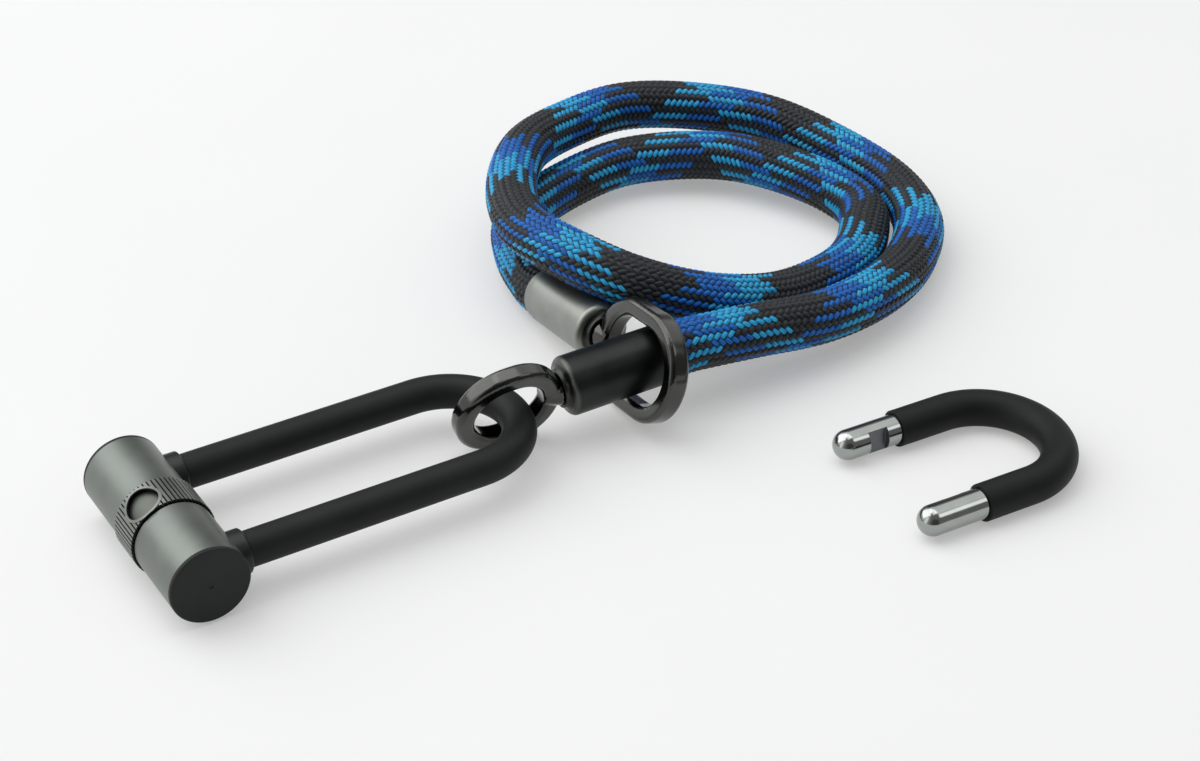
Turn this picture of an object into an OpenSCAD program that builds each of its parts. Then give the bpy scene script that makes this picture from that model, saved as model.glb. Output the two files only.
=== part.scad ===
// Cable lock: a braided anchor rope with a forged eye at each end, a U-lock that
// links through the smaller eye, and a short spare shackle for the same lock body.
// Millimetres. The long shackle points along +X, away from the lock body, +Z is up
// and everything lies on the plane z = 0.

/* [Rope] */
// Diameter of the braided rope
rope_d = 24; // [20:0.5:24]
// Diameter of the rope's bound tail inside a ferrule
rope_tail_d = 20; // [14:0.5:20]
// Length of rope tail gripped inside each ferrule
rope_grip = 26; // [12:1:26]

/* [Ferrules] */
// How far a ferrule's wall stands out past the rope, on the radius
ferrule_lip = 1; // [0.5:0.25:1.5]
// Length of a ferrule, rope mouth to front face
ferrule_l = 50; // [49:1:56]
// Bevel round a ferrule's front face
ferrule_bevel = 2; // [1:0.5:3]
// Length of the crimped band at a ferrule's rope mouth
mouth_band_l = 3.5; // [2:0.5:5]
// How far the crimped band lies below the ferrule's surface
mouth_band_depth = 0.4; // [0.2:0.1:0.5]
// Thickness of the web between the rope tail and the swivel cavity
ferrule_web = 3; // [2:0.5:3]

/* [Swivels] */
// Diameter of the shank of a forged eye
shank_d = 11; // [8:0.5:11]
// Diameter of the head that keeps a shank in its ferrule
shank_head_d = 14.6; // [13:0.2:15]
// Length of the shank's head
shank_head_l = 5.5; // [4:0.5:6]
// Diameter of the cavity that the head turns in
cavity_d = 16; // [15.6:0.2:18]
// Room between the web and the shank's head
head_room = 1.1; // [0.5:0.1:2]
// Diameter of the bush's visible flange
bush_flange_d = 17.4; // [17:0.2:19]
// Thickness of the bush's visible flange
bush_flange_t = 2; // [1.5:0.25:3]

/* [Large eye] */
// Half length of the large eye's outline along its shank
large_eye_reach = 31; // [30:0.5:36]
// Play between the large eye's hole and a ferrule that passes through, across the eye
large_eye_play = 8; // [7:0.5:9]
// Width of the large eye's bar, seen face on
large_eye_w = 6.8; // [6:0.2:7]
// Thickness of the large eye's bar
large_eye_t = 9; // [7:0.5:9.5]
// Lean of the large eye from upright
large_eye_lean = 16; // [10:1:18]

/* [Small eye] */
// Play between the small eye's hole and the long shackle's coating, on the diameter
small_eye_play = 15; // [14:0.5:16]
// Straight length in each side of the small eye's loop
small_eye_span = 2.5; // [1:0.5:6]
// Width of the small eye's bar, seen face on
small_eye_w = 7.5; // [6.5:0.25:7.5]
// Thickness of the small eye's bar
small_eye_t = 8; // [6:0.5:8.5]
// Lean of the small eye from upright
small_eye_lean = 19.5; // [15:0.5:24]
// Bevel along the edges of both forged eyes
eye_bevel = 1.3; // [0.5:0.1:2]
// Diameter of the boss where an eye meets its shank
eye_boss_d = 13.8; // [12:0.2:14.4]

/* [Shackles] */
// Diameter of the bare legs
bar_d = 13; // [12:0.25:13]
// Distance between the two legs, centre to centre
leg_gap = 60; // [56:1:64]
// Distance from the lock body's axis to the centre of the long shackle's bend
long_reach = 124; // [100:1:140]
// Thickness of the long shackle's coating
long_coat = 0.9; // [0.5:0.1:1.1]
// Distance from the end of the spare shackle's sleeve to the centre of its bend
spare_reach = 25; // [20:1:40]
// Thickness of the spare shackle's sleeve
spare_coat = 1.4; // [1:0.1:1.4]
// Bare steel past the coating on each leg, to the tip
leg_bare = 30; // [29:0.25:30]
// Distance from the end of the coating to the middle of the bolt notch
notch_from_coat = 11.5; // [11:0.25:12]
// Width of the bolt notch along the leg
notch_w = 9; // [8.5:0.25:9.5]
// Depth of the bolt notch
notch_depth = 3; // [2.5:0.25:4]

/* [Lock body] */
// Diameter of the casing
casing_d = 33; // [32.5:0.5:36]
// Length of the lock body over its end caps
casing_l = 88; // [86:1:110]
// Wall of each casing sleeve
casing_wall = 2; // [1.5:0.25:2]
// Distance from the casing's surface to the end of the coating of a fitted shackle
coat_stop = 0.5; // [0.25:0.25:1]
// Thickness of an end cap's rim
cap_t = 2; // [1.5:0.25:4]
// Diameter of an end cap's spigot
cap_spigot_d = 12; // [8:0.5:14]
// Length of an end cap's spigot
cap_spigot_l = 3.5; // [2:0.25:3.5]
// Fine bevel round an end cap
cap_bevel = 0.6; // [0.3:0.1:1]

/* [Leg collars] */
// Outer diameter of the collar round each leg
collar_d = 18.4; // [18:0.2:19.6]
// How far a collar stands out past the casing
collar_proud = 3.5; // [2:0.25:6]
// How deep a collar sits in the lock body
collar_grip = 6; // [4:0.5:6]
// Bevel round a collar's mouth
collar_bevel = 0.6; // [0.3:0.1:0.7]

/* [Dust ring] */
// Width of the dust ring along the lock body
ring_w = 19; // [17:0.5:20]
// Gap between the dust ring and each casing sleeve
ring_gap = 0.6; // [0.3:0.1:0.8]
// How far the ring's ribs stand out past the casing
ring_proud = 1; // [0.6:0.1:2]
// How far the ring's bed lies below the casing's surface
ring_bed = 1; // [0.5:0.1:1.2]
// Number of ribs round the ring
rib_count = 60; // [40:2:72]
// Width of a rib
rib_w = 1.2; // [0.8:0.1:1.3]
// Depth of the grooves between ribs
rib_depth = 0.6; // [0.3:0.1:0.8]
// Distance from the ring's edges to the ends of the ribs
rib_inset = 0.5; // [0.3:0.1:0.6]
// Diameter of the round window in the ring
window_d = 14.5; // [12:0.5:14.5]
// Width of the raised lip round the window
window_lip = 1.1; // [0.9:0.1:1.4]
// How far the lip stands out past the ribs
lip_proud = 0.2; // [0.1:0.05:0.4]
// How far the window sits off the ring's middle, towards the right end of the lock body
window_shift = 0.8; // [0:0.1:0.9]
// Angle of the window from +X towards +Z, with the keyhole covered
window_angle = 120; // [60:1:150]

/* [Key cylinder] */
// Diameter of the key cylinder's housing
housing_d = 15; // [14.8:0.1:16]
// Diameter of the turning core
core_d = 10.8; // [10:0.2:10.8]
// Wall of the core round its discs
core_wall = 1.2; // [1:0.1:1.4]
// Width of the key slot
key_slot_w = 1.8; // [1.2:0.1:2.4]
// Height of the key slot
key_slot_h = 5.6; // [4:0.2:6]
// Number of locking discs
disc_count = 7; // [5:1:7]
// Depth of the gate in each disc
gate_depth = 0.8; // [0.6:0.1:0.9]
// Width of the sidebar that drops into the gates
sidebar_w = 1.6; // [1.2:0.1:2]
// Thickness of one locking disc
disc_t = 1.2; // [0.8:0.1:1.2]
// Diameter of the pin that keeps the key cylinder in
pin_d = 2; // [1.5:0.1:2]

/* [Bolts] */
// Diameter of each locking bolt
bolt_d = 7.5; // [7:0.25:7.5]
// Diameter of the drive disc's pins
crank_pin_d = 2.4; // [2:0.1:2.4]
// Thickness of the drive disc
drive_t = 2; // [1.5:0.25:2]
// Diameter of the drive disc
drive_d = 11; // [10:0.5:12]
// Room on each side of a drive pin in its bolt's tail
crank_room = 0.9; // [0.8:0.1:1]
// Metal round the slot in a bolt's tail
tail_wall = 1.6; // [1.2:0.1:1.6]

/* [Fits] */
// Running clearance on the radius between turning or sliding metal pieces
run_fit = 0.1; // [0.05:0.01:0.1]
// Clearance on the radius between pieces that are pressed or moulded together
press_fit = 0.02; // [0.01:0.01:0.03]
// End play of a piece that turns
end_play = 0.4; // [0.2:0.1:0.5]
// Clearance between a coated leg and its collar, on the radius
collar_fit = 0.2; // [0.1:0.05:0.3]

/* [Layout] */
// Rope mouth of the large eye's ferrule
large_mouth = [50, 114, 13.9];
// Heading of the large eye's ferrule, from its mouth, anticlockwise from +X
large_yaw = -92; // [-94:0.5:-90]
// Rise of the large eye's ferrule towards the eye
large_pitch = 7.5; // [7:0.25:8]
// Rope mouth of the small eye's ferrule
small_mouth = [58.5, 28.7, 26.9];
// Heading of the small eye's ferrule
small_yaw = 176; // [174:0.5:178]
// Rise of the small eye's ferrule towards the eye
small_pitch = -3.5; // [-4:0.25:-3]
// How far the linked long shackle's bar lies from the small eye's centre, along X
link_shift = 3.25; // [2:0.25:4.5]
// How far the long shackle's middle lies from the small eye's centre, along Y
link_side = 3; // [0:0.5:6]
// Centre of the spare shackle's bend
spare_bend = [147, -77.6];
// Turn of the spare shackle
spare_yaw = -2.3; // [-10:0.1:10]

/* [Hidden] */
$fn = 64;

// The rope's free route between its two straight ends, by hand
rope_points = [
    [57, 152, 13], [73, 180, 13], [107, 197.6, 13], [147, 200.3, 15], [186, 178.5, 17],
    [208, 143, 17], [217, 108, 14], [204, 84, 13], [178, 64, 13], [138, 54, 16],
    [99, 53, 27], [67, 65, 39], [50, 95, 44], [47, 130, 42], [62, 168, 39],
    [88.7, 201.8, 36.3], [123, 222, 31.5], [160, 229, 29], [195, 218, 25], [224, 193, 21],
    [240, 157, 16], [245, 117, 13], [233, 80, 13], [206, 52, 14], [174, 34, 17],
    [138, 26, 20], [100, 26, 25]
];
// Straight run of rope outside each ferrule
rope_straight = 10;
// Rings swept for each stretch between two points of the route, and sides of the tube
steps_per_stretch = 2;
rope_sides = 12;

overlap = 0.01;
cut = 1;
bar_r = bar_d / 2;
ferrule_r = rope_d / 2 + ferrule_lip;
casing_r = casing_d / 2;
chassis_r = casing_r - casing_wall;
bed_r = casing_r - ring_bed;
ring_r = casing_r + ring_proud;
cap_end = casing_l / 2;
casing_end = cap_end - cap_t;
long_coat_r = bar_r + long_coat;
spare_coat_r = bar_r + spare_coat;
leg_y = leg_gap / 2;

// Places along a leg, measured from the lock body's axis
coat_end = casing_r + coat_stop;
tip_end = coat_end - leg_bare;
notch_x = coat_end - notch_from_coat;
socket_r = bar_r + run_fit;
tip_middle = tip_end + bar_r;
collar_seat = casing_r - collar_grip;
collar_bore_r = max(long_coat_r, spare_coat_r) + collar_fit;
collar_step = coat_end - end_play;

// Places along a ferrule, measured from its rope mouth
cavity_start = rope_grip + ferrule_web;
head_start = cavity_start + head_room;
head_end = head_start + shank_head_l;
bush_start = head_end + end_play;
eye_start = ferrule_l + bush_flange_t + end_play;

small_eye_end_r = long_coat_r + small_eye_play / 2 + small_eye_w;
small_eye_reach = small_eye_end_r + small_eye_span / 2;
large_eye_end_r = ferrule_r + large_eye_play / 2 + large_eye_w;
large_eye_span = 2 * (large_eye_reach - large_eye_end_r);

// Unit vector of a ferrule's axis
function heading(yaw, pitch) = [cos(pitch) * cos(yaw), cos(pitch) * sin(yaw), sin(pitch)];
large_axis = heading(large_yaw, large_pitch);
small_axis = heading(small_yaw, small_pitch);
small_eye_centre = small_mouth + small_axis * (eye_start + small_eye_reach);

// The long shackle hangs in the small eye, and the lock body sits on its legs
bend_apex = [small_eye_centre.x + link_shift, small_eye_centre.y + link_side];
lock_at = [bend_apex.x - leg_y - long_reach, bend_apex.y, ring_r];

// Places along the key cylinder, on the lock body's X axis
bolt_near = notch_x - bolt_d / 2;
drive_front = bolt_near - end_play;
drive_back = drive_front - drive_t;
core_back = drive_back - end_play;
housing_back = core_back;
core_front = end_play - sqrt(bed_r * bed_r - core_d * core_d / 4);
disc_room_r = core_d / 2 - core_wall;
discs_back = core_back - core_wall;
discs_front = core_front + core_wall;
tail_d = core_d / 2;
crank_pin_l = (bolt_d - end_play) / 2;
crank_r = notch_depth;
bolt_tip = leg_y - bar_r - end_play / 2;
crank_slot_w = crank_pin_d + 2 * crank_room;
tail_reach = crank_slot_w / 2 + tail_wall;
tail_top = crank_r + crank_pin_d / 2 + tail_wall;
tail_split = 0.3;
bolt_root = tail_reach + notch_depth + end_play;
pocket_y = bolt_root + notch_depth + end_play;
pin_x = (core_front + core_back) / 2;
pin_z = core_d / 2 + run_fit + press_fit + pin_d / 2;
sidebar_h = core_wall + gate_depth / 2;

module at_lock() {
    translate(lock_at) children();
}

module at_large_ferrule() {
    translate(large_mouth) rotate([0, -large_pitch, large_yaw]) children();
}

module at_small_ferrule() {
    translate(small_mouth) rotate([0, -small_pitch, small_yaw]) children();
}

// Cylinders along X and Y, from one coordinate to another
module rod_x(r, from, to) {
    translate([from, 0, 0]) rotate([0, 90, 0]) cylinder(r = r, h = to - from);
}

module rod_y(r, from, to) {
    translate([0, from, 0]) rotate([-90, 0, 0]) cylinder(r = r, h = to - from);
}

module cone_x(r1, r2, from, to) {
    translate([from, 0, 0]) rotate([0, 90, 0]) cylinder(r1 = r1, r2 = r2, h = to - from);
}

// ---- Rope ----

// Point at t on a smooth curve from b to c, with neighbours a and d
function curve_point(a, b, c, d, t) =
    0.5 * (2 * b + (c - a) * t + (2 * a - 5 * b + 4 * c - d) * t * t + (3 * b - a - 3 * c + d) * t * t * t);

route = concat(
    [large_mouth - large_axis * rope_straight / 2, large_mouth - large_axis * rope_straight],
    rope_points,
    [small_mouth - small_axis * rope_straight, small_mouth - small_axis * rope_straight / 2]
);
free_line = [
    for (i = [1 : len(route) - 3])
        for (s = [0 : steps_per_stretch - 1])
            curve_point(route[i - 1], route[i], route[i + 1], route[i + 2], s / steps_per_stretch)
];
rope_line = concat(
    [large_mouth + large_axis * rope_grip, large_mouth, large_mouth],
    free_line,
    [route[len(route) - 2], small_mouth, small_mouth, small_mouth + small_axis * rope_grip]
);
last_ring = len(rope_line) - 1;
rope_radii = [
    for (i = [0 : last_ring])
        (i < 2 || i > last_ring - 2 ? rope_tail_d : rope_d) / 2
];

function unit(v) = v / norm(v);
// Direction of the rope at ring i, square to the ferrule at both ends
function ring_axis(i) =
    i < 3 ? -large_axis : i > last_ring - 3 ? small_axis : unit(rope_line[i + 1] - rope_line[i - 1]);
function ring_points(i) =
    let (axis = ring_axis(i), side = unit(cross([0, 0, 1], axis)), up = cross(axis, side))
    [
        for (k = [0 : rope_sides - 1])
            let (a = 360 * (k + 0.5) / rope_sides)
            rope_line[i] + rope_radii[i] * (cos(a) * side + sin(a) * up)
    ];

// Least distance between the surfaces of two turns of the rope
turn_apart = 8;
least_gap = min([
    for (i = [0 : len(free_line) - turn_apart - 1])
        for (j = [i + turn_apart : len(free_line) - 1])
            norm(free_line[i] - free_line[j])
]) - rope_d;
echo(least_gap_between_turns = least_gap);

// Length of the rope's line from ring i on
function length_from(i) = i < last_ring ? norm(rope_line[i + 1] - rope_line[i]) + length_from(i + 1) : 0;
echo(rope_length_between_ferrules = length_from(0) - 2 * rope_grip);

module rope() {
    skin = [for (i = [0 : last_ring]) each ring_points(i)];
    walls = [
        for (i = [0 : last_ring - 1])
            for (k = [0 : rope_sides - 1])
                let (a = i * rope_sides + k, b = i * rope_sides + (k + 1) % rope_sides)
                each [[a, b + rope_sides, b], [a, a + rope_sides, b + rope_sides]]
    ];
    first_end = [for (k = [1 : rope_sides - 2]) [0, k, k + 1]];
    base = last_ring * rope_sides;
    last_end = [for (k = [1 : rope_sides - 2]) [base, base + k + 1, base + k]];
    color("royalblue") polyhedron(skin, concat(walls, first_end, last_end));
}

// ---- Ferrules, swivel bushes and forged eyes ----

module ferrule_shape() {
    difference() {
        union() {
            rod_x(ferrule_r - mouth_band_depth, 0, mouth_band_l + overlap);
            rod_x(ferrule_r, mouth_band_l, ferrule_l - ferrule_bevel);
            cone_x(ferrule_r, ferrule_r - ferrule_bevel, ferrule_l - ferrule_bevel, ferrule_l);
        }
        rod_x(rope_tail_d / 2 + press_fit, -cut, rope_grip + press_fit);
        rod_x(cavity_d / 2, cavity_start, ferrule_l + cut);
    }
}

module swivel_bush_shape() {
    groove_w = bush_flange_t / 4;
    groove_from = ferrule_l + bush_flange_t / 2 - groove_w / 2;
    difference() {
        union() {
            rod_x(cavity_d / 2 - press_fit, bush_start, ferrule_l);
            rod_x(bush_flange_d / 2, ferrule_l, groove_from);
            rod_x(bush_flange_d / 2 - groove_w, ferrule_l, ferrule_l + bush_flange_t);
            rod_x(bush_flange_d / 2, groove_from + groove_w, ferrule_l + bush_flange_t);
        }
        rod_x(shank_d / 2 + run_fit, bush_start - cut, ferrule_l + bush_flange_t + cut);
    }
}

module shank() {
    rod_x(shank_d / 2, head_end - overlap, eye_start + overlap);
    rod_x(shank_head_d / 2, head_start, head_end);
}

module bar_section(w, t) {
    x = w / 2;
    y = t / 2;
    b = eye_bevel;
    polygon([
        [-x, b - y], [b - x, -y], [x - b, -y], [x, b - y],
        [x, y - b], [x - b, y], [b - x, y], [-x, y - b]
    ]);
}

// Loop of bevelled bar in the XY plane: two half rounds joined by straight bars
module long_loop(end_r, span, w, t) {
    for (turn = [0, 180]) rotate(turn) {
        translate([span / 2, 0, 0]) rotate(-90) rotate_extrude(angle = 180)
            translate([end_r - w / 2, 0]) bar_section(w, t);
        translate([-span / 2, w / 2 - end_r, 0]) rotate([90, 0, 90]) linear_extrude(span)
            bar_section(w, t);
    }
}

// Forged eye on its shank, leaning by turning about the shank's axis
module eye_shape(end_r, span, w, t, lean) {
    difference() {
        union() {
            shank();
            cone_x(eye_boss_d / 2, t / 2, eye_start, eye_start + w);
            translate([eye_start + end_r + span / 2, 0, 0]) rotate([90 - lean, 0, 0])
                long_loop(end_r, span, w, t);
        }
        // The boss stays out of the eye's hole
        translate([eye_start + end_r + span / 2, 0, 0]) rotate([90 - lean, 0, 0])
            translate([-span / 2, 0, 0]) cylinder(r = end_r - w, h = eye_boss_d + cut, center = true);
    }
}

module ferrule_large() {
    color("dimgray") at_large_ferrule() ferrule_shape();
}

module ferrule_small() {
    color([0.13, 0.13, 0.14]) at_small_ferrule() ferrule_shape();
}

module swivel_bush_large() {
    color([0.2, 0.2, 0.21]) at_large_ferrule() swivel_bush_shape();
}

module swivel_bush_small() {
    color([0.2, 0.2, 0.21]) at_small_ferrule() swivel_bush_shape();
}

module large_eye() {
    color([0.08, 0.08, 0.09]) at_large_ferrule()
        eye_shape(large_eye_end_r, large_eye_span, large_eye_w, large_eye_t, large_eye_lean);
}

module small_eye() {
    color([0.08, 0.08, 0.09]) at_small_ferrule()
        eye_shape(small_eye_end_r, small_eye_span, small_eye_w, small_eye_t, small_eye_lean);
}

// ---- Shackles ----

// U of round bar: legs end at x = from, the bend's centre is at x = to
module u_rod(r, from, to) {
    for (side = [-1, 1]) translate([0, side * leg_y, 0]) rod_x(r, from, to + overlap);
    translate([to, 0, 0]) rotate(-90) rotate_extrude(angle = 180) translate([leg_y, 0]) circle(r = r);
}

// Steel bar with round tips and a bolt notch on the inner side of each leg
module shackle_bar(coat_from, bend_at) {
    tip = coat_from - leg_bare;
    notch_mid = coat_from - notch_from_coat;
    difference() {
        union() {
            u_rod(bar_r, tip + bar_r, bend_at);
            for (side = [-1, 1]) translate([tip + bar_r, side * leg_y, 0]) sphere(r = bar_r);
        }
        for (side = [-1, 1])
            translate([notch_mid, side * (leg_y - bar_r), 0])
                cube([notch_w, 2 * notch_depth, bar_d + cut], center = true);
    }
}

module shackle_coat(r, coat_from, bend_at) {
    difference() {
        u_rod(r, coat_from, bend_at);
        u_rod(bar_r + press_fit, coat_from - cut, bend_at);
    }
}

module long_shackle_bar() {
    color("silver") at_lock() shackle_bar(coat_end, long_reach);
}

module long_shackle_coat() {
    color([0.12, 0.12, 0.12]) at_lock() shackle_coat(long_coat_r, coat_end, long_reach);
}

module at_spare() {
    translate([spare_bend.x, spare_bend.y, spare_coat_r]) rotate(spare_yaw) children();
}

module spare_shackle_bar() {
    color("silver") at_spare() shackle_bar(-spare_reach, 0);
}

module spare_shackle_sleeve() {
    color([0.12, 0.12, 0.12]) at_spare() shackle_coat(spare_coat_r, -spare_reach, 0);
}

// ---- Lock body ----

// Solid body with the leg sockets, the bolt channel and the key cylinder's bore
module lock_chassis() {
    color("gray") at_lock() difference() {
        union() {
            rod_y(chassis_r - press_fit, -casing_end, casing_end);
            rod_y(bed_r, -ring_w / 2, ring_w / 2);
        }
        for (side = [-1, 1]) {
            translate([0, side * leg_y, 0]) rod_x(socket_r, tip_middle, casing_r);
            translate([tip_middle, side * leg_y, 0]) sphere(r = socket_r);
            translate([0, side * leg_y, 0]) rod_x(collar_d / 2 + press_fit, collar_seat, casing_r + cut);
            rotate(side * 90)
                rod_x(cap_spigot_d / 2 + press_fit, casing_end - cap_spigot_l - cut, casing_end + cut);
        }
        translate([notch_x, 0, 0]) rod_y(bolt_d / 2 + run_fit, -leg_y, leg_y);
        rod_x(housing_d / 2 + press_fit, -bed_r - cut, housing_back);
        translate([core_back, -pocket_y, -tail_top - end_play])
            cube([notch_x + end_play - core_back, 2 * pocket_y, 2 * (tail_top + end_play)]);
        retaining_pin(pin_d / 2 + press_fit, ring_w);
    }
}

module casing_sleeve(side) {
    color([0.17, 0.17, 0.18]) at_lock() difference() {
        rotate(side * 90) rod_x(casing_r, ring_w / 2, casing_end);
        rotate(side * 90) rod_x(chassis_r, ring_w / 2 - cut, casing_end + cut);
        translate([0, side * leg_y, 0]) rod_x(collar_d / 2 + press_fit, 0, casing_r + cut);
    }
}

module casing_left() {
    casing_sleeve(1);
}

module casing_right() {
    casing_sleeve(-1);
}

module end_cap(side) {
    mark_d = 2;
    mark_depth = 0.4;
    color([0.1, 0.1, 0.11]) at_lock() rotate(side * 90) difference() {
        union() {
            rod_x(cap_spigot_d / 2, casing_end - cap_spigot_l, casing_end);
            rod_x(casing_r, casing_end, cap_end - cap_bevel);
            cone_x(casing_r, casing_r - cap_bevel, cap_end - cap_bevel, cap_end);
        }
        rod_x(mark_d / 2, cap_end - mark_depth, cap_end + cut);
    }
}

module end_cap_left() {
    end_cap(1);
}

module end_cap_right() {
    end_cap(-1);
}

module leg_collar(side) {
    mouth = casing_r + collar_proud;
    color([0.1, 0.1, 0.11]) at_lock() translate([0, side * leg_y, 0]) difference() {
        union() {
            rod_x(collar_d / 2, collar_seat, mouth - collar_bevel);
            cone_x(collar_d / 2, collar_d / 2 - collar_bevel, mouth - collar_bevel, mouth);
        }
        rod_x(collar_bore_r, collar_step, mouth + cut);
        rod_x(socket_r, collar_seat - cut, mouth);
    }
}

module leg_collar_left() {
    leg_collar(1);
}

module leg_collar_right() {
    leg_collar(-1);
}

// ---- Key cylinder and bolts ----

module retaining_pin(r, half_l) {
    translate([pin_x, 0, pin_z]) rod_y(r, -half_l, half_l);
}

module cylinder_housing() {
    color("goldenrod") at_lock() difference() {
        intersection() {
            rod_x(housing_d / 2, -bed_r, housing_back);
            rod_y(bed_r, -housing_d, housing_d);
        }
        rod_x(core_d / 2 + run_fit, -bed_r - cut, housing_back + cut);
        retaining_pin(pin_d / 2 + press_fit, housing_d);
        translate([discs_front, -sidebar_w / 2 - run_fit, -core_d / 2 - gate_depth])
            cube([discs_back - discs_front, sidebar_w + 2 * run_fit, core_d / 2]);
    }
}

module cylinder_pin() {
    color("silver") at_lock() retaining_pin(pin_d / 2, ring_w / 2 - end_play);
}

module key_slot(from, to) {
    translate([(from + to) / 2, 0, 0]) cube([to - from, key_slot_w, key_slot_h], center = true);
}

module lock_core() {
    color("gold") at_lock() difference() {
        union() {
            rod_x(core_d / 2, core_front, core_back);
            rod_x(tail_d / 2, core_back - overlap, drive_front);
        }
        rod_x(disc_room_r, discs_front, discs_back);
        key_slot(core_front - cut, discs_front + cut);
        translate([discs_front, -sidebar_w / 2 - run_fit, -core_d / 2 - cut])
            cube([discs_back - discs_front, sidebar_w + 2 * run_fit, core_wall + 2 * cut]);
    }
}

// Discs share one node: they are alike and stand in one row
module locking_discs() {
    pitch = (discs_back - discs_front) / disc_count;
    color("silver") at_lock() for (i = [0 : disc_count - 1]) {
        disc_from = discs_front + pitch * (i + 0.5) - disc_t / 2;
        difference() {
            rod_x(disc_room_r - press_fit, disc_from, disc_from + disc_t);
            key_slot(disc_from - cut, disc_from + disc_t + cut);
            translate([disc_from - cut, -sidebar_w / 2 - run_fit, -disc_room_r - cut])
                cube([disc_t + 2 * cut, sidebar_w + 2 * run_fit, gate_depth + cut]);
        }
    }
}

module sidebar() {
    bar_l = discs_back - discs_front - 2 * end_play;
    color("silver") at_lock()
        translate([discs_front + end_play, -sidebar_w / 2, -core_d / 2])
            cube([bar_l, sidebar_w, sidebar_h]);
}

// Disc on the core's tail, whose two crank pins move the bolts
module drive_disc() {
    color("lightgray") at_lock() difference() {
        union() {
            rod_x(drive_d / 2, drive_back, drive_front);
            for (side = [-1, 1])
                translate([0, 0, side * crank_r])
                    rod_x(crank_pin_d / 2, drive_front - overlap, drive_front + crank_pin_l);
        }
        rod_x(tail_d / 2 + press_fit, drive_back - cut, drive_front + cut);
    }
}

// Round bolt with a slotted tail that reaches across the axis on one side of it
module bolt(side) {
    tail_front = bolt_near;
    tail_depth = notch_x - bolt_near;
    color("silver") at_lock() mirror([0, side < 0 ? 1 : 0, 0]) mirror([0, 0, side < 0 ? 1 : 0]) {
        translate([notch_x, 0, 0]) rod_y(bolt_d / 2, bolt_root - overlap, bolt_tip);
        difference() {
            translate([tail_front, -tail_reach, tail_split])
                cube([tail_depth, tail_reach + bolt_root, tail_top - tail_split]);
            translate([tail_front - cut, -crank_slot_w / 2, -cut])
                cube([tail_depth + 2 * cut, crank_slot_w, crank_r + crank_pin_d / 2 + end_play + cut]);
        }
    }
}

module bolt_left() {
    bolt(1);
}

module bolt_right() {
    bolt(-1);
}

// ---- Dust ring ----

// Ribbed ring that turns on the chassis and covers the keyhole until its window meets it
module dust_ring() {
    half_w = ring_w / 2 - ring_gap;
    rib_base = ring_r - rib_depth;
    color([0.14, 0.14, 0.15]) at_lock() difference() {
        union() {
            rod_y(rib_base, -half_w, half_w);
            for (i = [0 : rib_count - 1]) rotate([0, 360 * i / rib_count, 0])
                translate([rib_base - rib_depth, rib_inset - half_w, -rib_w / 2])
                    cube([2 * rib_depth, 2 * (half_w - rib_inset), rib_w]);
            intersection() {
                at_window() rod_x(window_d / 2 + window_lip, bed_r, 2 * ring_r);
                rod_y(ring_r + lip_proud, -half_w, half_w);
            }
        }
        rod_y(bed_r + run_fit, -ring_w, ring_w);
        at_window() rod_x(window_d / 2, 0, 2 * ring_r);
    }
}

module at_window() {
    translate([0, -window_shift, 0]) rotate([0, -window_angle, 0]) children();
}

rope();
ferrule_large();
ferrule_small();
swivel_bush_large();
swivel_bush_small();
large_eye();
small_eye();
long_shackle_bar();
long_shackle_coat();
lock_chassis();
casing_left();
casing_right();
end_cap_left();
end_cap_right();
leg_collar_left();
leg_collar_right();
cylinder_housing();
cylinder_pin();
dust_ring();
lock_core();
locking_discs();
sidebar();
drive_disc();
bolt_left();
bolt_right();
spare_shackle_bar();
spare_shackle_sleeve();
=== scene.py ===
"""Cable lock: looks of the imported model. Every length is in metres, in the CAD frame."""

import math

import bpy
import numpy as np
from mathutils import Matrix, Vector


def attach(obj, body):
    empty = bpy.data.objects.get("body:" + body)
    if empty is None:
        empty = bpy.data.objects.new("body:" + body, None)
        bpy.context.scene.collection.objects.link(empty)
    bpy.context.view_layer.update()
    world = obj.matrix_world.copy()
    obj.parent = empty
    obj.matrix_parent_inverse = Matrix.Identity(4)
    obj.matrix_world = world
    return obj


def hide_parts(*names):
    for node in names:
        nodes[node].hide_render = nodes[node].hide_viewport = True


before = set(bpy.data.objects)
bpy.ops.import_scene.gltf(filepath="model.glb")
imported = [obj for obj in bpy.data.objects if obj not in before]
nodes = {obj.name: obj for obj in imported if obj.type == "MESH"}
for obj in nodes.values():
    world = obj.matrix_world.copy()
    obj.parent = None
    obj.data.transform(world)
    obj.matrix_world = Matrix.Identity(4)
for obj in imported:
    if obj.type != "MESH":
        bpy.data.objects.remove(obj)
scene = bpy.context.scene
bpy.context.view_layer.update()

MM = 0.001


def mm(*values):
    """A point, or a row of lengths, given in millimetres."""
    return np.array(values, float) * MM


# ---- Camera ----

CAMERA_AT = (-0.417477, -0.693812, 0.582007)
CAMERA_LOOKS_AT = (0.04365, 0.0593, 0.0)
SENSOR = 36.0
FOCAL_IN_WIDTHS = 2.0169
CLIP = (0.01, 20)


def aim(obj, at, to):
    """Place a camera or lamp and turn it to look at a point."""
    obj.location = at
    obj.rotation_mode = "QUATERNION"
    obj.rotation_quaternion = (Vector(to) - Vector(at)).to_track_quat("-Z", "Y")
    scene.collection.objects.link(obj)


camera = bpy.data.objects.new("camera", bpy.data.cameras.new("camera"))
aim(camera, CAMERA_AT, CAMERA_LOOKS_AT)
camera.data.sensor_width = SENSOR
camera.data.lens = SENSOR * FOCAL_IN_WIDTHS
camera.data.clip_start, camera.data.clip_end = CLIP
scene.camera = camera
scene.view_settings.view_transform = "Standard"


# ---- Sizes and places shared with the CAD model ----

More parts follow.
